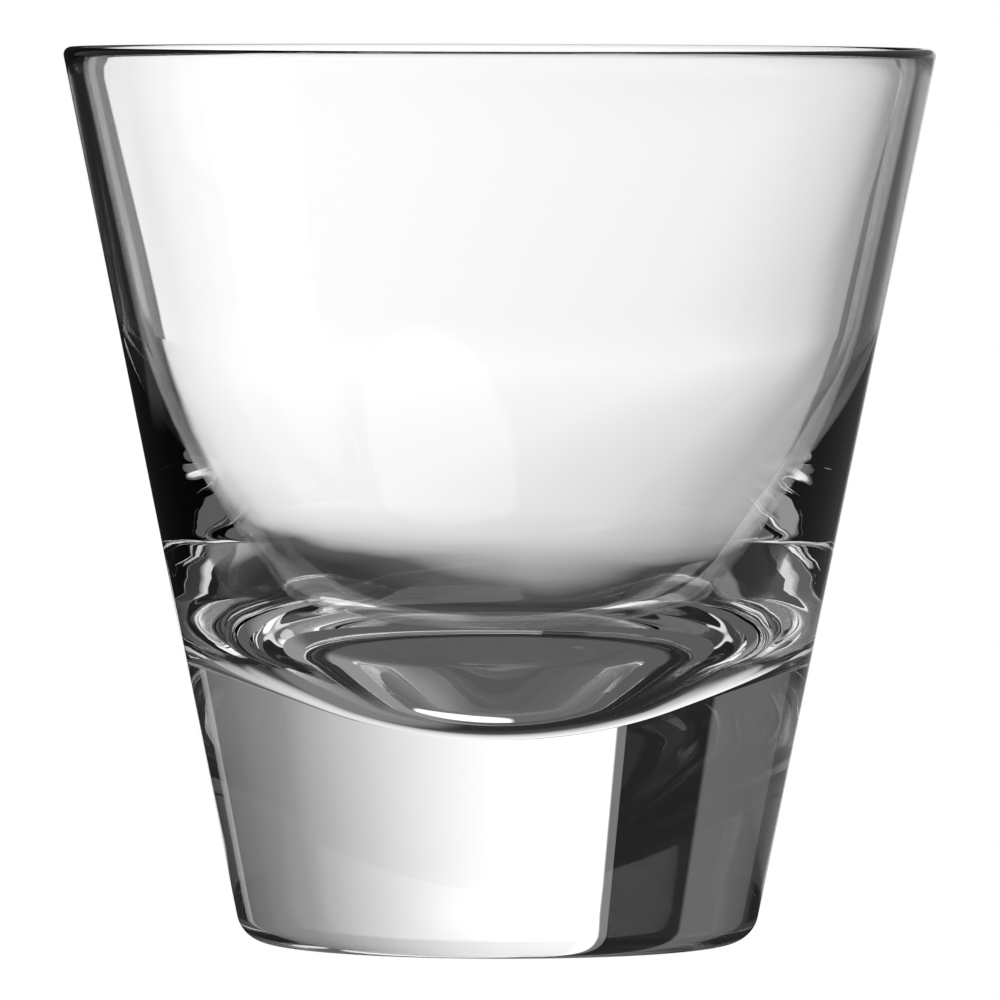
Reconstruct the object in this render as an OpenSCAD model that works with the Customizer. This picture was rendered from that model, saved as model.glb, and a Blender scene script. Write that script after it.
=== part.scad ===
// A small tapered coffee glass with a thick solid base and a round-bottomed well.
// The glass is one formed piece, turned about the upright Z axis.
// Z = 0 is the plane that the glass stands on, and sizes are in millimetres.

/* [Outside] */
// Height from the table to the top of the rim
glass_h = 77; // [68:0.5:95]
// Widest diameter, across the rim
rim_d = 75; // [68:0.5:90]
// Diameter at which the tapered side would meet the table
foot_d = 44; // [40:0.5:52]
// Thickness of the wall at the rim, which is rounded in full
rim_t = 1.3; // [0.9:0.1:2.2]
// Radius of the corner between the side and the underside
foot_r = 2.8; // [1:0.1:4]

/* [Well] */
// Thickness of the solid glass under the middle of the well
base_t = 19.7; // [16:0.1:22]
// Extra taper of the inside of the wall over the outside, in degrees, so that it thickens downwards
wall_extra = 0.7; // [0.1:0.1:2]
// Radius of the flank, the long curve in which the wall swells into the base
flank_r = 75; // [50:1:110]
// Radius of the shoulder, the tighter curve under the flank
shoulder_r = 15; // [8:0.5:19]
// How far the shoulder stands in from the straight line of the wall
shoulder_in = 3.1; // [2:0.1:4]
// Tilt of the straight slope under the shoulder, in degrees from upright
slope_tilt = 62.7; // [58:0.1:66]
// Radius of the round bottom of the well
bottom_r = 21.6; // [12:0.2:26]

/* [Underside] */
// Inner diameter of the flat ring that the glass stands on
ring_d = 33; // [24:0.5:36]
// Rise of the middle of the underside above the table
hollow_h = 0.6; // [0.2:0.1:1.5]

/* [Finish] */
// Colour of the clear glass
glass_colour = [0.86, 0.89, 0.88, 0.4];

/* [Hidden] */
// Segments of a full circle
$fn = 180;
// Widest step along an arc of the outline, in degrees
arc_step = 2.5;

// The rim is a half round between the two tapers
rim_r = rim_t / 2;
rim_c = [rim_d / 2 - rim_r, glass_h - rim_r];

// Taper of the side: the line up from the foot that just touches the rim's round
foot_to_rim = rim_c - [foot_d / 2, 0];
side_taper = atan2(foot_to_rim[0], foot_to_rim[1]) + asin(rim_r / norm(foot_to_rim));

// The corner at the foot touches the side and the table
foot_c = [foot_d / 2 - foot_r * (1 - sin(side_taper)) / cos(side_taper), foot_r];

// The underside is a shallow dome inside the flat ring
ring_r = ring_d / 2;
dome_r = (pow(ring_r, 2) + pow(hollow_h, 2)) / (2 * hollow_h);
dome_c = [0, hollow_h - dome_r];

// Directions up along the inside of the wall and along the slope, and off each into the well
wall_taper = side_taper + wall_extra;
wall_up = [sin(wall_taper), cos(wall_taper)];
wall_in = [-cos(wall_taper), sin(wall_taper)];
slope_up = [sin(slope_tilt), cos(slope_tilt)];
slope_in = [-cos(slope_tilt), sin(slope_tilt)];

// The bottom of the well is round about the axis, and the slope leaves it at its own tilt
bottom_c = [0, base_t + bottom_r];
slope_low = bottom_c - bottom_r * slope_in;

// The shoulder touches the slope and stands in from the wall, so its centre lies on two lines:
// shoulder_r off the slope, and shoulder_r + shoulder_in off the wall
wall_top = rim_c + rim_r * wall_in;
shoulder_from = slope_low + shoulder_r * slope_in - wall_top;
shoulder_rise = (shoulder_r + shoulder_in - shoulder_from * wall_in) / (slope_up * wall_in);
shoulder_c = wall_top + shoulder_from + shoulder_rise * slope_up;

// The flank touches the wall above it and the shoulder below it, so its centre lies flank_r off
// the wall and flank_r - shoulder_r away from the shoulder's centre
flank_gap = flank_r - shoulder_r;
flank_out = flank_gap - shoulder_in;
flank_rise = sqrt(pow(flank_gap, 2) - pow(flank_out, 2));
flank_c = shoulder_c + flank_out * wall_in + flank_rise * wall_up;
flank_tilt = atan2(flank_c[1] - shoulder_c[1], shoulder_c[0] - flank_c[0]);

// Points of an arc about centre c, from angle a to angle b, without the point at a
function arc(c, r, a, b) =
    let (steps = ceil(abs(b - a) / arc_step))
    [for (i = [1 : steps]) let (t = a + (b - a) * i / steps) c + r * [cos(t), sin(t)]];

// The cut face of one half, from the middle of the underside round to the middle of the well
outline = concat(
    [[0, hollow_h]],
    arc(dome_c, dome_r, 90, 90 - asin(ring_r / dome_r)),
    [[foot_c[0], 0]],
    arc(foot_c, foot_r, -90, -side_taper),
    [rim_c + rim_r * [cos(side_taper), -sin(side_taper)]],
    arc(rim_c, rim_r, -side_taper, 180 - wall_taper),
    [flank_c - flank_r * wall_in],
    arc(flank_c, flank_r, -wall_taper, -flank_tilt),
    arc(shoulder_c, shoulder_r, -flank_tilt, -slope_tilt),
    [slope_low],
    arc(bottom_c, bottom_r, -slope_tilt, -90)
);

module glass_body() {
    color(glass_colour)
    rotate_extrude()
    polygon(outline);
}

glass_body();
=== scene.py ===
"""A tapered cortado glass of clear formed glass, in a plain white studio."""

import math

import bmesh
import bpy
from bpy.props import FloatProperty, FloatVectorProperty, IntProperty, PointerProperty
from mathutils import Matrix, Vector, noise


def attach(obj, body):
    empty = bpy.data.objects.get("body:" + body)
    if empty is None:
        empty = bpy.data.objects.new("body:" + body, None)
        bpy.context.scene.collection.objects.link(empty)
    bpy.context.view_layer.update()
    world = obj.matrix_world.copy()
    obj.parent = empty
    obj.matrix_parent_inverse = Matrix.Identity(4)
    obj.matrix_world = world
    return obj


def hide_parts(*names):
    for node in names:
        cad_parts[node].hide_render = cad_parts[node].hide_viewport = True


bl_info = {
    "name": "Cortado glass",
    "version": (1, 0, 0),
    "blender": (4, 5, 0),
    "location": "3D View > Sidebar > Glass",
    "description": "Turns a thick-based coffee glass and sets it in a white studio",
    "category": "Object",
}

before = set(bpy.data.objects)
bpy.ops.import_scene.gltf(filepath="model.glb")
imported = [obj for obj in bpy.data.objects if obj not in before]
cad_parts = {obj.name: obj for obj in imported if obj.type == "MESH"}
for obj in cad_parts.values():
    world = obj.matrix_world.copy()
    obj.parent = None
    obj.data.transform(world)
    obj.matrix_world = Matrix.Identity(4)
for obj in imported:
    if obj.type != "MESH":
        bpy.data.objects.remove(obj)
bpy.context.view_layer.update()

MM = 0.001
TURN = 2 * math.pi
# The glass is turned in equal sectors, which is quicker than one long turn
SECTORS = 8
# Points closer than this, in metres, are one point
WELD = 1e-6


def length(name, about, default_mm):
    """A length in metres for the sidebar, given here in millimetres."""
    return FloatProperty(
        name=name,
        description=about,
        default=default_mm * MM,
        min=0.0,
        precision=5,
        subtype="DISTANCE",
        unit="LENGTH",
    )


def tilt(name, about, degrees):
    """An angle for the sidebar, given here in degrees."""
    return FloatProperty(
        name=name,
        description=about,
        default=math.radians(degrees),
        min=0.0,
        max=math.pi / 2,
        subtype="ANGLE",
        unit="ROTATION",
    )


def amount(name, about, default, low=0.0, high=1.0):
    """A plain number for the sidebar."""
    return FloatProperty(
        name=name, description=about, default=default, min=low, max=high, precision=4
    )


class GlassSizes(bpy.types.PropertyGroup):
    """Sizes of the glass, the same as in the part's own source."""

    glass_h: length("Height", "Height from the table to the top of the rim", 77)
    rim_d: length("Rim", "Widest diameter, across the rim", 75)
    foot_d: length("Foot", "Diameter at which the tapered side meets the table", 44)
    rim_t: length("Rim wall", "Thickness of the wall at the rim", 1.3)
    foot_r: length("Foot corner", "Radius of the corner at the foot", 2.8)
    base_t: length("Base", "Solid glass under the middle of the well", 19.7)
    wall_extra: tilt("Wall taper", "Extra taper of the inside over the outside", 0.7)
    flank_r: length("Flank", "Radius of the long curve into the base", 75)
    shoulder_r: length("Shoulder", "Radius of the tighter curve under it", 15)
    shoulder_in: length("Shoulder in", "How far it stands in from the wall", 3.1)
    slope_tilt: tilt("Slope", "Tilt of the slope under the shoulder", 62.7)
    bottom_r: length("Well bottom", "Radius of the round bottom of the well", 21.6)
    ring_d: length("Foot ring", "Inner diameter of the flat ring", 33)
    hollow_h: length("Hollow", "Rise of the middle of the underside", 0.6)
    well_ripple: length("Well ripple", "Height of the ripples in the well", 0.012)
    turns: IntProperty(
        name="Steps round",
        description="Steps of the full turn of the lathe",
        default=368,
        min=32,
        max=512,
    )


class GlassFinish(bpy.types.PropertyGroup):
    """Finish of the clear glass, with the faint unevenness of its polish."""

    tint: FloatVectorProperty(
        name="Tint",
        description="Colour that one pass through the surface keeps",
        default=(0.985, 0.99, 0.987, 1.0),
        size=4,
        min=0.0,
        max=1.0,
        subtype="COLOR",
    )
    bend: amount("Bend of light", "Index of refraction of soda-lime glass", 1.52, 1, 3)
    haze: amount("Haze", "Roughness of the polished surface", 0.0)
    polish: length("Polish", "Height of the unevenness of the polish", 0.0003)
    grain: amount("Grain", "Fineness of the unevenness, per metre", 250, 0, 2000)


class StudioLight(bpy.types.PropertyGroup):
    """Brightness of the plain white studio, and of the light and shade painted on its table,
    paper and card.
    """

    white: amount("White", "Brightness of the paper that the camera sees", 1.0, 0, 5)
    # The lit paper and the lit white on the table glow with painted light and shade
    paper: amount("Lit paper", "Brightness of the lit paper behind the glass", 1.22, 0, 5)
    lamp: amount("Soft lamps", "Brightness of the soft lamps", 1.0, 0, 20)
    grey: amount("Room", "Brightness of the dim room round the table", 0.15, 0, 5)
    # The black of the card is painted shade, and it is also painted shade on the table and
    # paper
    black: amount("Black card", "Brightness of the black card", 0.017, 0, 5)
    # The grey strip is painted light on the black card
    strip: amount("Grey strip", "Brightness of the grey strip low on the card", 0.60, 0, 5)
    # The grey under the foot is a painted shadow of the glass on the table
    under: amount("Under the foot", "Brightness of the table under the glass", 0.11, 0, 5)


# Drawing the outline of the glass, with X across and Z up


class Pen:
    """Draws connected edges in the XZ plane: straight lines, and arcs made by a spin."""

    def __init__(self, mesh, x, z):
        self.mesh = mesh
        self.tip = mesh.verts.new((x, 0.0, z))

    def line(self, x, z, steps):
        """A straight line to (x, z)."""
        start = self.tip.co.copy()
        end = Vector((x, 0.0, z))
        for i in range(steps):
            made = bmesh.ops.extrude_vert_indiv(self.mesh, verts=[self.tip])
            self.tip = made["verts"][0]
            self.tip.co = start.lerp(end, (i + 1) / steps)

    def arc(self, x, z, sweep, steps):
        """Turns about (x, z) through sweep radians, from X towards Z when positive."""
        made = bmesh.ops.spin(
            self.mesh,
            geom=[self.tip],
            cent=(x, 0.0, z),
            axis=(0.0, -1.0, 0.0),
            angle=sweep,
            steps=steps,
        )
        ends = [g for g in made["geom_last"] if isinstance(g, bmesh.types.BMVert)]
        self.tip = ends[0]


# Steps along the parts of the outline, in the order in which they are drawn
DOME_STEPS = 20
RING_STEPS = 4
CORNER_STEPS = 14
SIDE_STEPS = 40
RIM_STEPS = 18
WALL_STEPS = 24
FLANK_STEPS = 48
SHOULDER_STEPS = 30
SLOPE_STEPS = 26
BOTTOM_STEPS = 30


def draw_outline(mesh, s):
    """The cut face of one half, from the middle of the underside to that of the well."""
    rim_r = s.rim_t / 2
    rim_c = Vector((s.rim_d / 2 - rim_r, s.glass_h - rim_r))
    foot_to_rim = rim_c - Vector((s.foot_d / 2, 0.0))
    side = math.atan2(foot_to_rim.x, foot_to_rim.y) + math.asin(rim_r / foot_to_rim.length)
    foot_x = s.foot_d / 2 - s.foot_r * (1 - math.sin(side)) / math.cos(side)
    ring_r = s.ring_d / 2
    dome_r = (ring_r**2 + s.hollow_h**2) / (2 * s.hollow_h)
    dome_sweep = math.asin(ring_r / dome_r)

    wall = side + s.wall_extra
    wall_up = Vector((math.sin(wall), math.cos(wall)))
    wall_in = Vector((-math.cos(wall), math.sin(wall)))
    slope_up = Vector((math.sin(s.slope_tilt), math.cos(s.slope_tilt)))
    slope_in = Vector((-math.cos(s.slope_tilt), math.sin(s.slope_tilt)))
    bottom_c = Vector((0.0, s.base_t + s.bottom_r))
    slope_low = bottom_c - s.bottom_r * slope_in
    wall_top = rim_c + rim_r * wall_in
    off = slope_low + s.shoulder_r * slope_in - wall_top
    rise = (s.shoulder_r + s.shoulder_in - off.dot(wall_in)) / slope_up.dot(wall_in)
    shoulder_c = wall_top + off + rise * slope_up
    gap = s.flank_r - s.shoulder_r
    out = gap - s.shoulder_in
    flank_c = shoulder_c + out * wall_in + math.sqrt(gap**2 - out**2) * wall_up
    flank_tilt = math.atan2(flank_c.y - shoulder_c.y, shoulder_c.x - flank_c.x)
    wall_low = flank_c - s.flank_r * wall_in

    pen = Pen(mesh, 0.0, s.hollow_h)
    pen.arc(0.0, s.hollow_h - dome_r, -dome_sweep, DOME_STEPS)
    pen.line(foot_x, 0.0, RING_STEPS)
    pen.arc(foot_x, s.foot_r, math.pi / 2 - side, CORNER_STEPS)
    side_top = rim_c + rim_r * Vector((math.cos(side), -math.sin(side)))
    pen.line(side_top.x, side_top.y, SIDE_STEPS)
    pen.arc(rim_c.x, rim_c.y, math.pi + side - wall, RIM_STEPS)
    pen.line(wall_low.x, wall_low.y, WALL_STEPS)
    pen.arc(flank_c.x, flank_c.y, wall - flank_tilt, FLANK_STEPS)
    pen.arc(shoulder_c.x, shoulder_c.y, flank_tilt - s.slope_tilt, SHOULDER_STEPS)
    pen.line(slope_low.x, slope_low.y, SLOPE_STEPS)
    pen.arc(bottom_c.x, bottom_c.y, s.slope_tilt - math.pi / 2, BOTTOM_STEPS)


# The ripple of the well, in metres: it rises and fades between these heights, and a point
# this far inside the tapered side is on the inner skin
RIPPLE_RISE = (0.020, 0.028)
RIPPLE_FADE = (0.048, 0.038)
SKIN_DEPTH = 0.0009
# How fast the fine rings and the slow swell change, round the glass and up it
RINGS = (2, 900)
SWELL = (7, 150)
RING_SHARE = 0.5


def ease(low, high, x):
    """0 below low, 1 above high, and a smooth rise between them."""
    t = min(1.0, max(0.0, (x - low) / (high - low)))
    return t * t * (3 - 2 * t)


def ripple(turn, z, fineness):
    """Noise on the skin at an angle and a height, without a seam round the glass."""
    around, along = fineness
    return noise.noise((around * math.cos(turn), around * math.sin(turn), z * along))


def make_uneven(mesh, s):
    """Formed glass is never quite true: the lower skin of the well ripples a little."""
    mesh.normal_update()
    moves = []
    for vert in mesh.verts:
        x, y, z = vert.co
        outside = s.foot_d / 2 + z * (s.rim_d - s.foot_d) / 2 / s.glass_h
        band = ease(*RIPPLE_RISE, z) * ease(*RIPPLE_FADE, z)
        if band > 0 and math.hypot(x, y) < outside - SKIN_DEPTH:
            turn = math.atan2(y, x)
            height = RING_SHARE * ripple(turn, z, RINGS) + ripple(turn, z, SWELL)
            moves.append((vert, s.well_ripple * band * height * vert.normal))
    for vert, move in moves:
        vert.co += move


def object_from(mesh, name):
    """A smooth-shaded object at the origin, with outward faces, from a bmesh."""
    bmesh.ops.recalc_face_normals(mesh, faces=mesh.faces)
    data = bpy.data.meshes.new(name)
    mesh.to_mesh(data)
    mesh.free()
    for face in data.polygons:
        face.use_smooth = True
    made = bpy.data.objects.new(name, data)
    bpy.context.scene.collection.objects.link(made)
    return made


# Node helpers

# How far apart the nodes stand in the editor
COLUMN = 200


class Tree:
    """Adds nodes to a node tree, one column at a time."""

    def __init__(self, tree):
        self.tree = tree
        self.place = 0
        tree.nodes.clear()

    def add(self, kind, **settings):
        node = self.tree.nodes.new(kind)
        node.location = (self.place, 0)
        self.place += COLUMN
        for name, value in settings.items():
            setattr(node, name, value)
        return node

    def join(self, source, target):
        self.tree.links.new(source, target)

    def feed(self, value, socket):
        """Sets a socket to a plain number, or joins another socket to it."""
        if isinstance(value, (int, float)):
            socket.default_value = value
        else:
            self.join(value, socket)

    def number(self, operation, first, second=0.0):
        """A Math node on sockets or plain numbers."""
        node = self.add("ShaderNodeMath", operation=operation)
        self.feed(first, node.inputs[0])
        self.feed(second, node.inputs[1])
        return node.outputs[0]

    def product(self, first, *others):
        """The product of sockets and plain numbers."""
        for other in others:
            first = self.number("MULTIPLY", first, other)
        return first

    def spread(self, value, low, high, start, end, smooth=False):
        """A Map Range node from low..high to start..end."""
        node = self.add("ShaderNodeMapRange", clamp=True)
        if smooth:
            node.interpolation_type = "SMOOTHSTEP"
        self.join(value, node.inputs["Value"])
        node.inputs["From Min"].default_value = low
        node.inputs["From Max"].default_value = high
        node.inputs["To Min"].default_value = start
        node.inputs["To Max"].default_value = end
        return node.outputs["Result"]

    def blend(self, share_of_second, first, second):
        """A Mix node of two numbers."""
        node = self.add("ShaderNodeMix", data_type="FLOAT")
        for value, socket in zip((share_of_second, first, second), (0, 2, 3)):
            self.feed(value, node.inputs[socket])
        return node.outputs[0]

    def ramp(self, value, stops):
        """A brightness that runs through stops of (place in millimetres, brightness).

        New stops start in the middle of the ramp, and each is then moved to its place.
        """
        first, last = stops[0][0], stops[-1][0]
        share_of_way = self.spread(value, first * MM, last * MM, 0.0, 1.0)
        node = self.add("ShaderNodeValToRGB")
        self.join(share_of_way, node.inputs[0])
        line = node.color_ramp
        line.interpolation = "LINEAR"
        while len(line.elements) < len(stops):
            line.elements.new(0.5)
        for element, (place, grey) in zip(line.elements, stops):
            element.position = (place - first) / (last - first)
            element.color = (grey, grey, grey, 1.0)
        return node.outputs[0]

    def local(self):
        """X, Y and Z of the object's own coordinates."""
        where = self.add("ShaderNodeTexCoord")
        split = self.add("ShaderNodeSeparateXYZ")
        self.join(where.outputs["Object"], split.inputs[0])
        return tuple(split.outputs)

    def reflections(self):
        """How often the ray has been reflected, inside the glass or off it."""
        return self.add("ShaderNodeLightPath").outputs["Glossy Depth"]


# Octaves of the noise of the polish
POLISH_DETAIL = 2.0


def clear_glass(finish):
    """Clear glass whose polish is a little uneven."""
    made = bpy.data.materials.new("clear_glass")
    made.use_nodes = True
    t = Tree(made.node_tree)
    where = t.add("ShaderNodeTexCoord")
    skin = t.add("ShaderNodeTexNoise")
    skin.inputs["Scale"].default_value = finish.grain
    skin.inputs["Detail"].default_value = POLISH_DETAIL
    t.join(where.outputs["Object"], skin.inputs["Vector"])
    bump = t.add("ShaderNodeBump")
    bump.inputs["Strength"].default_value = 1.0
    bump.inputs["Distance"].default_value = finish.polish
    t.join(skin.outputs["Fac"], bump.inputs["Height"])
    body = t.add("ShaderNodeBsdfPrincipled")
    body.inputs["Base Color"].default_value = finish.tint
    body.inputs["Roughness"].default_value = finish.haze
    body.inputs["IOR"].default_value = finish.bend
    body.inputs["Transmission Weight"].default_value = 1.0
    out = t.add("ShaderNodeOutputMaterial")
    t.join(bump.outputs["Normal"], body.inputs["Normal"])
    t.join(body.outputs["BSDF"], out.inputs["Surface"])
    return made


def lit(name, brightness, light):
    """A glowing stage material of painted light: the camera sees a plain white, the glass sees
    painted light and shade.

    brightness is a function that adds the nodes of the light to a Tree.
    """
    made = bpy.data.materials.new(name)
    made.use_nodes = True
    t = Tree(made.node_tree)
    value = brightness(t, light)
    path = t.add("ShaderNodeLightPath")
    mixed = t.blend(path.outputs["Is Camera Ray"], value, light.white)
    glow = t.add("ShaderNodeEmission")
    t.join(mixed, glow.inputs["Strength"])
    out = t.add("ShaderNodeOutputMaterial")
    t.join(glow.outputs[0], out.inputs["Surface"])
    return made


class GLASS_OT_body(bpy.types.Operator):
    """Turn the glass: draw its outline and spin it about the upright axis"""

    bl_idname = "cortado.body"
    bl_label = "Glass body"

    def execute(self, context):
        sizes = context.scene.glass_sizes
        finish = context.scene.glass_finish
        mesh = bmesh.new()
        draw_outline(mesh, sizes)
        bmesh.ops.spin(
            mesh,
            geom=mesh.verts[:] + mesh.edges[:],
            axis=(0.0, 0.0, 1.0),
            angle=TURN / SECTORS,
            steps=sizes.turns // SECTORS,
        )
        sector = mesh.verts[:] + mesh.edges[:] + mesh.faces[:]
        for i in range(1, SECTORS):
            copy = bmesh.ops.duplicate(mesh, geom=sector)["geom"]
            bmesh.ops.rotate(
                mesh,
                verts=[g for g in copy if isinstance(g, bmesh.types.BMVert)],
                matrix=Matrix.Rotation(TURN * i / SECTORS, 3, "Z"),
            )
        bmesh.ops.remove_doubles(mesh, verts=mesh.verts, dist=WELD)
        bmesh.ops.recalc_face_normals(mesh, faces=mesh.faces)
        make_uneven(mesh, sizes)
        body = object_from(mesh, "glass_shell")
        body.data.materials.append(clear_glass(finish))
        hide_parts("glass_body")
        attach(body, "root")
        return {"FINISHED"}


# The studio stands round the glass with its front towards the camera, in metres

PAPER_Y = 0.410
PAPER_LEFT = -0.118
PAPER_RIGHT = 0.9
PAPER_TOP = 0.9
CARD_LEFT = -0.9
TABLE_HALF = 0.9
DOME_R = 6.0
DOME_SEGMENTS = 64
DOME_RINGS = 32

# A ray with more reflections than this has been reflected at all, or often
ONCE = 0.5
OFTEN = 4.5

# Painted light and shade of the lit white, by the distance outside its sharp right edge, in
# millimetres
SWEEP = [
    (-120, 1.0),
    (-60, 0.88),
    (-30, 0.70),
    (-13, 0.48),
    (-1, 0.52),
    (1, 0.21),
    (30, 0.17),
    (45, 0.08),
]
# Painted fall-off of light across the upper paper, by the distance to the right of its middle,
# in millimetres
FADE = [(0, 0.92), (40, 0.82), (130, 0.54), (190, 0.40), (260, 0.29), (500, 0.22)]
# Painted contact shade: brightness of the table by the distance behind the middle of the foot,
# in millimetres
PAINTED_CONTACT_SHADE = [
    (28, 0.03),
    (38, 0.11),
    (42, 0.40),
    (46, 0.61),
    (54, 0.79),
    (64, 0.90),
    (90, 1.0),
]

# Each row of four numbers below goes to Tree.spread: as a place in metres goes from the first
# number to the second, the result goes from the third to the fourth


def painted_white_sweep():
    """The node group for the painted lit white, which the table and the paper share."""
    group = bpy.data.node_groups.get("painted_white_sweep")
    if group:
        return group
    group = bpy.data.node_groups.new("painted_white_sweep", "ShaderNodeTree")
    group.interface.new_socket("Outside", in_out="INPUT", socket_type="NodeSocketFloat")
    group.interface.new_socket("White", in_out="OUTPUT", socket_type="NodeSocketFloat")
    t = Tree(group)
    start = t.add("NodeGroupInput")
    white = t.ramp(start.outputs["Outside"], SWEEP)
    end = t.add("NodeGroupOutput")
    t.join(white, end.inputs["White"])
    return group


def swept(t, outside):
    """Brightness of the painted lit white at a distance outside its right edge."""
    node = t.add("ShaderNodeGroup", node_tree=painted_white_sweep())
    t.join(outside, node.inputs["Outside"])
    return node.outputs["White"]


# Painted sweep of light on the paper by height: its right edge, and how many times wider it is
SWEEP_EDGE_UP = (0.035, 0.075, 0.104, 0.155)
SWEEP_WIDER_UP = (0.0, 0.06, 1.0, 1.5)
# The dim room that shows past the sweep, from this far to the right, by height
PAST_SWEEP = 0.1
PAST_SWEEP_UP = (0.012, 0.03, 0.08, 0.24)
# Painted light of the upper paper: its brightness left of the middle, and the height at which
# it takes over
UPPER_LEFT = (-0.06, 0.0, 1.0, 0.92)
UPPER_START = (0.055, 0.068, 0.0, 1.0)
# All of the paper is painted a little brighter at its left end
LEFT_END = (-0.098, -0.078, 1.2, 1.0)
# The top of the paper is painted dimmer, and for reflected rays it is no brighter than TOP_MOST
TOP_START = (0.10, 0.13, 0.0, 1.0)
TOP_SHARE = 0.85
TOP_MOST = 0.22
# Rays that were reflected often see a painted bright place at the right, low down
BRIGHT_RIGHT = (0.15, 0.25, 0.0, 1.0)
BRIGHT_LOW = (0.02, 0.04, 1.0, 0.0)
# Reflected rays see a corner painted black as shade at the left, low down
BLACK_LEFT = (-0.03, 0.02, 1.0, 0.0)
BLACK_LOW = (0.03, 0.05, 1.0, 0.0)
# The left edge of the painted white by height, how soft it is, and the grey past it
WHITE_EDGE_UP = (0.03, 0.07, -0.098, -0.107)
WHITE_EDGE_SOFT = (-0.002, 0.002, 0.0, 1.0)
PAST_WHITE = 0.2


def paper_light(t, light):
    """Painted light of the paper: a lit sweep low down, a long fade of the light to the right
    above.
    """
    x, _, z = t.local()
    turned = t.number("GREATER_THAN", t.reflections(), ONCE)

    outside = t.number("SUBTRACT", x, t.spread(z, *SWEEP_EDGE_UP))
    low = swept(t, t.number("DIVIDE", outside, t.spread(z, *SWEEP_WIDER_UP)))
    past = t.product(t.spread(z, *PAST_SWEEP_UP), t.number("GREATER_THAN", x, PAST_SWEEP))
    low = t.number("MAXIMUM", low, past)
    right_half = t.number("GREATER_THAN", x, 0.0)
    high = t.blend(right_half, t.spread(x, *UPPER_LEFT), t.ramp(x, FADE))
    white = t.blend(t.spread(z, *UPPER_START, smooth=True), low, high)
    white = t.product(white, light.paper, t.spread(x, *LEFT_END))
    top = t.blend(turned, t.product(white, TOP_SHARE), t.number("MINIMUM", white, TOP_MOST))
    white = t.blend(t.spread(z, *TOP_START, smooth=True), white, top)

    often = t.number("GREATER_THAN", t.reflections(), OFTEN)
    bright = t.product(often, t.spread(x, *BRIGHT_RIGHT), t.spread(z, *BRIGHT_LOW))
    white = t.blend(bright, white, light.paper)
    black = t.product(turned, t.spread(x, *BLACK_LEFT), t.spread(z, *BLACK_LOW))
    white = t.blend(black, white, light.black)

    # Painted dark reflection: rays that come off the outside of the glass, as off a mirror, see
    # black left of the middle
    path = t.add("ShaderNodeLightPath")
    mirrored = t.number("SUBTRACT", 1.0, path.outputs["Is Transmission Ray"])
    mirrored = t.product(mirrored, t.number("LESS_THAN", x, 0.0))
    white = t.blend(mirrored, white, light.black)

    inside = t.number("SUBTRACT", x, t.spread(z, *WHITE_EDGE_UP))
    edge = t.spread(inside, *WHITE_EDGE_SOFT, smooth=True)
    return t.blend(edge, t.blend(turned, PAST_WHITE, light.black), white)


# The dim room past the far edge of the card, above its foot
CARD_END = (-0.262, -0.248, 1.0, 0.0)
CARD_END_UP = (0.055, 0.08, 0.0, 1.0)
# The strip of painted light low on the card: its left and right edges, its foot and its top
STRIP_LEFT = (-0.153, -0.142, 0.0, 1.0)
STRIP_RIGHT = (-0.128, -0.112, 1.0, 0.4)
STRIP_FOOT = (0.008, 0.016, 0.0, 1.0)
STRIP_TOP = (0.055, 0.062, 1.0, 0.0)


def card_light(t, light):
    """Black card of painted shade; painted light in a strip low down; the dim room past its far
    edge.
    """
    x, _, z = t.local()
    room = t.product(
        t.spread(x, *CARD_END, smooth=True),
        t.spread(z, *CARD_END_UP, smooth=True),
    )
    grey = t.blend(room, light.black, light.grey)
    strip = t.product(
        t.spread(x, *STRIP_LEFT, smooth=True),
        t.spread(x, *STRIP_RIGHT, smooth=True),
        t.spread(z, *STRIP_FOOT, smooth=True),
        t.spread(z, *STRIP_TOP, smooth=True),
        t.number("LESS_THAN", t.reflections(), ONCE),
    )
    return t.blend(strip, grey, light.strip)


# The room is a dome, and its places are shares of its radius: how bright its front and its
# back are across, where the back begins, and where the ceiling does
ROOM_FRONT = (-0.2, 0.5, 0.05, 0.13)
ROOM_BACK = (-0.6, 0.5, 0.10, 0.26)
BACK_START = (0.2, 0.7, 0.0, 1.0)
CEILING_START = (0.6, 0.8, 0.0, 1.0)
# Rays that were reflected often see a bright band at each side, at the height of the table
BAND_ACROSS = (0.85, 0.92, 0.0, 1.0)
BAND_UP = (0.05, 0.10, 1.0, 0.0)
BAND_GLOW = 0.8
# Each soft lamp has the direction towards it, its brightness, and the cosines of the angles
# from that direction at which it starts and is full
LAMPS = (
    ((0.321, -0.557, 0.766), 1.2, 0.893, 0.915),
    ((0.882, 0.236, 0.407), 0.6, 0.975, 0.985),
    ((0.925, -0.163, 0.342), 1.2, 0.955, 0.975),
)
# Rays with this many reflections see no lamp, which keeps a stray line off the base
LAMPS_OFF = 2.0


def dome_light(t, light):
    """The room: dim all round and a little lighter on the right, with soft lamps."""
    x, y, z = (t.number("DIVIDE", place, DOME_R) for place in t.local())
    room = t.blend(t.spread(y, *BACK_START), t.spread(x, *ROOM_FRONT), t.spread(x, *ROOM_BACK))
    room = t.blend(t.spread(z, *CEILING_START, smooth=True), room, light.grey)

    shine = t.number("SUBTRACT", 1.0, t.number("COMPARE", t.reflections(), LAMPS_OFF))
    for (across, along, up), glow, start, full in LAMPS:
        near = t.number("ADD", t.product(x, across), t.product(y, along))
        near = t.number("ADD", near, t.product(z, up))
        lamp = t.product(t.spread(near, start, full, 0.0, 1.0, smooth=True), shine)
        room = t.blend(lamp, room, glow * light.lamp)

    often = t.number("GREATER_THAN", t.reflections(), OFTEN)
    band = t.product(
        often,
        t.spread(t.number("ABSOLUTE", x), *BAND_ACROSS),
        t.spread(t.number("ABSOLUTE", z), *BAND_UP),
    )
    return t.blend(band, room, BAND_GLOW)


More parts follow.
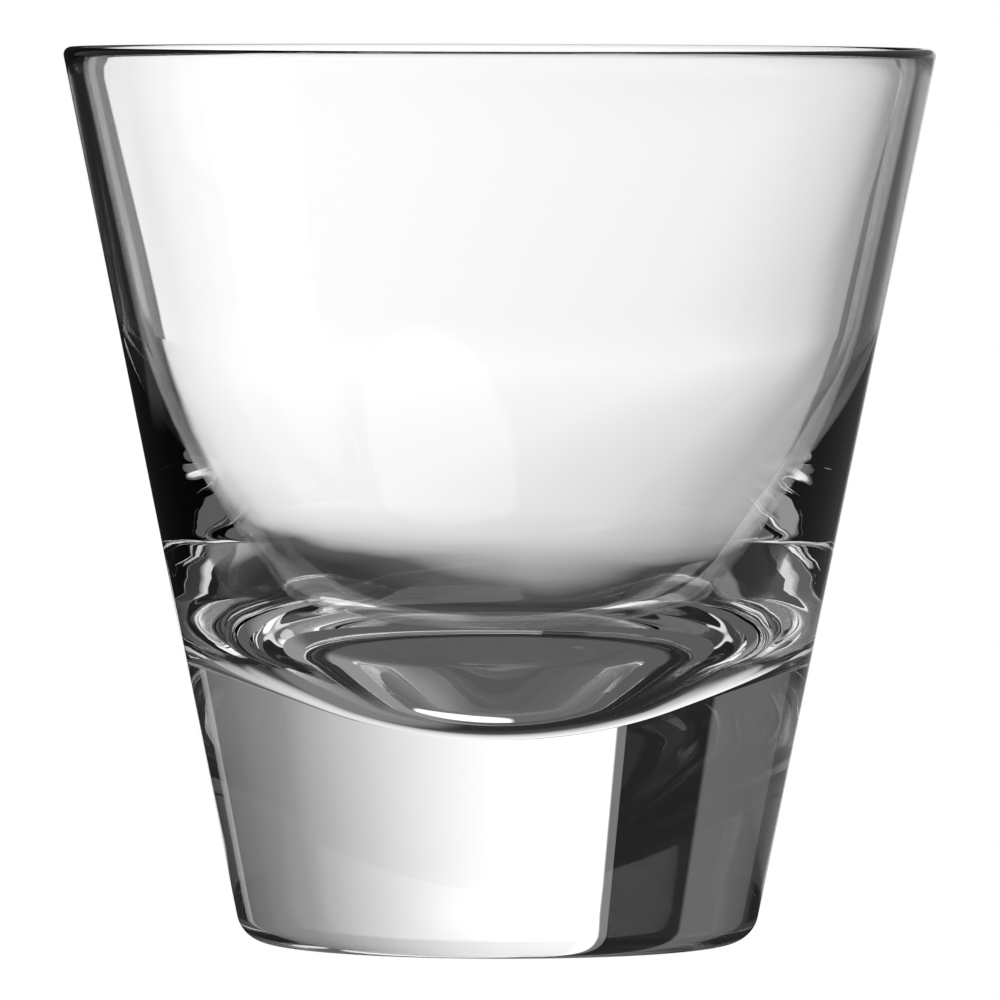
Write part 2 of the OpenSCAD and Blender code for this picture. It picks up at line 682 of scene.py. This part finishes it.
# The right edge of the painted lit white on the table by depth, and its left edge with how soft
# it is
TABLE_WHITE_RIGHT = (0.0, 0.4, 0.028, 0.100)
TABLE_WHITE_LEFT = (0.0, 0.4, -0.031, -0.1022)
TABLE_EDGE_SOFT = (-0.003, 0.003, 0.0, 1.0)
# The painted shade behind the foot lies aslant, and more so to the right of the middle
SHADE_SLANT = 0.2
SHADE_SLANT_RIGHT = 0.35
# For reflected rays the painted shade reaches further back on either side of this place
SHADE_MIDDLE = -0.004
SHADE_ASIDE = (0.009, 0.014, 0.0, 0.012)
# Reflected rays see a short painted glow in the painted shade: its left and right edges, and
# its brightness
GLOW_LEFT = (-0.014, -0.011, 0.0, 1.0)
GLOW_RIGHT = (-0.006, -0.002, 1.0, 0.0)
PAINTED_GLOW = 0.24
# A painted grey patch of light to the left, at this depth and with these edges
PATCH_DEPTH = 0.20
PATCH_ACROSS = (-0.21, -0.19, 1.0, 0.0)
PATCH_ALONG = (0.03, 0.06, 1.0, 0.0)
# The table is painted black in front of the glass, as shade
FRONT_END = (-0.005, 0.03, 0.0, 1.0)
# In the painted shadow under the foot, the back left corner is painted lighter
CORNER_ACROSS = (-0.008, -0.002, 1.0, 0.0)
CORNER_ALONG = (0.002, 0.008, 0.0, 1.0)
CORNER_LIGHT = 0.30
# The edge of the painted shadow of the glass under the foot, by distance from the middle
FOOT_SHADOW_EDGE = (0.0195, 0.0205, 0.0, 1.0)


def table_light(t, light):
    """Painted light and shade on the table: lit behind the glass, dark at the sides, grey
    shadow under the foot.
    """
    x, y, _ = t.local()
    turned = t.number("GREATER_THAN", t.reflections(), ONCE)

    # Painted contact shade behind the foot, aslant
    behind = t.number("ADD", y, t.product(x, SHADE_SLANT))
    behind = t.number("ADD", behind, t.product(t.number("MAXIMUM", x, 0.0), SHADE_SLANT_RIGHT))
    aside = t.number("ABSOLUTE", t.number("SUBTRACT", x, SHADE_MIDDLE))
    behind = t.number("SUBTRACT", behind, t.product(turned, t.spread(aside, *SHADE_ASIDE)))
    # A painted glow of light in that shade, for reflected rays
    glow = t.product(
        turned,
        t.spread(x, *GLOW_LEFT, smooth=True),
        t.spread(x, *GLOW_RIGHT, smooth=True),
        PAINTED_GLOW,
    )
    shade = t.number("MAXIMUM", t.ramp(behind, PAINTED_CONTACT_SHADE), glow)
    white = swept(t, t.number("SUBTRACT", x, t.spread(y, *TABLE_WHITE_RIGHT)))
    white = t.product(white, shade, light.paper)

    # Painted dark round the lit white, with a painted grey patch of light to the left
    patch = t.product(
        t.spread(x, *PATCH_ACROSS, smooth=True),
        t.spread(t.number("ABSOLUTE", t.number("SUBTRACT", y, PATCH_DEPTH)), *PATCH_ALONG),
    )
    dark = t.blend(patch, light.black, light.grey)
    inside = t.number("SUBTRACT", x, t.spread(y, *TABLE_WHITE_LEFT))
    around = t.blend(t.spread(inside, *TABLE_EDGE_SOFT, smooth=True), dark, white)
    around = t.blend(t.spread(y, *FRONT_END, smooth=True), light.black, around)

    # The painted shadow of the glass under the foot, lighter at its back left corner
    corner = t.product(
        t.spread(x, *CORNER_ACROSS, smooth=True),
        t.spread(y, *CORNER_ALONG, smooth=True),
    )
    under = t.blend(corner, light.under, CORNER_LIGHT)
    radius = t.number("SQRT", t.number("ADD", t.product(x, x), t.product(y, y)))
    return t.blend(t.spread(radius, *FOOT_SHADOW_EDGE), under, around)


def flat_panel(name, corners, material, parent):
    """A flat stage panel through the given corners."""
    mesh = bmesh.new()
    mesh.faces.new([mesh.verts.new(c) for c in corners])
    data = bpy.data.meshes.new(name)
    mesh.to_mesh(data)
    mesh.free()
    made = bpy.data.objects.new(name, data)
    bpy.context.scene.collection.objects.link(made)
    made.data.materials.append(material)
    made.parent = parent


def upright(left, right):
    """The corners of a panel that stands behind the glass."""
    return [
        (left, PAPER_Y, 0.0),
        (right, PAPER_Y, 0.0),
        (right, PAPER_Y, PAPER_TOP),
        (left, PAPER_Y, PAPER_TOP),
    ]


class STUDIO_OT_room(bpy.types.Operator):
    """Set up the table, the lit paper, the black card, the room and the camera"""

    bl_idname = "cortado.studio"
    bl_label = "Studio"

    def execute(self, context):
        light = context.scene.studio_light
        camera = place_camera(context)
        stand = bpy.data.objects.new("studio_stand", None)
        context.scene.collection.objects.link(stand)
        turn = stand.constraints.new("LOCKED_TRACK")
        turn.target = camera
        turn.track_axis = "TRACK_NEGATIVE_Y"
        turn.lock_axis = "LOCK_Z"

        half = TABLE_HALF
        level = [(-half, -half, 0.0), (half, -half, 0.0), (half, half, 0.0), (-half, half, 0.0)]
        panels = (
            ("studio_paper", upright(PAPER_LEFT, PAPER_RIGHT), paper_light),
            ("studio_card", upright(CARD_LEFT, PAPER_LEFT), card_light),
            ("studio_table", level, table_light),
        )
        for name, corners, brightness in panels:
            flat_panel(name, corners, lit(name, brightness, light), stand)
        mesh = bmesh.new()
        bmesh.ops.create_uvsphere(
            mesh, u_segments=DOME_SEGMENTS, v_segments=DOME_RINGS, radius=DOME_R
        )
        dome = object_from(mesh, "studio_room")
        dome.data.materials.append(lit("studio_room", dome_light, light))
        dome.parent = stand
        set_up_render(context.scene)
        return {"FINISHED"}


# The camera, found from the ellipse of the rim and the slant of the sides, in metres
CAMERA_AWAY = 1.139
CAMERA_UP = 0.08732
AIM = (0.000123, 0.0, 0.038066)
LENS_MM = 476.6
SENSOR_MM = 36.0
ROLL = 0.0027
NEAR = 0.05
FAR = 50.0

# How often light may be bent or reflected in all on its way through the thick glass, and how
# often it may be reflected
BOUNCES = 24
REFLECTIONS = 10
DIFFUSE_BOUNCES = 2
CLEAR_BOUNCES = 8
# The most that one indirect ray may add to a pixel
CLAMP = 4.0


def place_camera(context):
    """The camera at the photograph's angle."""
    data = bpy.data.cameras.new("camera")
    data.lens = LENS_MM
    data.sensor_width = SENSOR_MM
    data.clip_start = NEAR
    data.clip_end = FAR
    camera = bpy.data.objects.new("camera", data)
    context.scene.collection.objects.link(camera)
    place = Vector((0.0, -CAMERA_AWAY, CAMERA_UP))
    look = (Vector(AIM) - place).to_track_quat("-Z", "Y").to_matrix().to_4x4()
    camera.matrix_world = Matrix.Translation(place) @ look @ Matrix.Rotation(ROLL, 4, "Z")
    context.scene.camera = camera
    return camera


def set_up_render(scene):
    """Enough bounces for light to find its way through thick glass."""
    scene.view_settings.view_transform = "Standard"
    scene.view_settings.look = "None"
    cycles = scene.cycles
    cycles.max_bounces = BOUNCES
    cycles.transmission_bounces = BOUNCES
    cycles.glossy_bounces = REFLECTIONS
    cycles.diffuse_bounces = DIFFUSE_BOUNCES
    cycles.transparent_max_bounces = CLEAR_BOUNCES
    cycles.use_denoising = True
    cycles.sample_clamp_indirect = CLAMP
    cycles.blur_glossy = 0.0
    world = bpy.data.worlds.new("studio_air")
    world.use_nodes = True
    world.node_tree.nodes["Background"].inputs["Color"].default_value = (1, 1, 1, 1)
    scene.world = world


class GLASS_PT_panel(bpy.types.Panel):
    """Sizes, finish and light of the glass"""

    bl_idname = "GLASS_PT_panel"
    bl_label = "Cortado glass"
    bl_space_type = "VIEW_3D"
    bl_region_type = "UI"
    bl_category = "Glass"

    def draw(self, context):
        layout = self.layout
        for group in GROUPS:
            box = layout.box()
            settings = getattr(context.scene, group)
            for name in settings.__annotations__:
                box.prop(settings, name)
        for operator in OPERATORS:
            layout.operator(operator.bl_idname)


GROUPS = {
    "glass_sizes": GlassSizes,
    "glass_finish": GlassFinish,
    "studio_light": StudioLight,
}
OPERATORS = (GLASS_OT_body, STUDIO_OT_room)


def register():
    for cls in (*GROUPS.values(), *OPERATORS, GLASS_PT_panel):
        bpy.utils.register_class(cls)
    for name, cls in GROUPS.items():
        setattr(bpy.types.Scene, name, PointerProperty(type=cls))


def unregister():
    for name in GROUPS:
        delattr(bpy.types.Scene, name)
    for cls in (GLASS_PT_panel, *reversed(OPERATORS), *reversed(GROUPS.values())):
        bpy.utils.unregister_class(cls)


def main():
    register()
    bpy.ops.cortado.body()
    bpy.ops.cortado.studio()


if __name__ == "__main__":
    main()
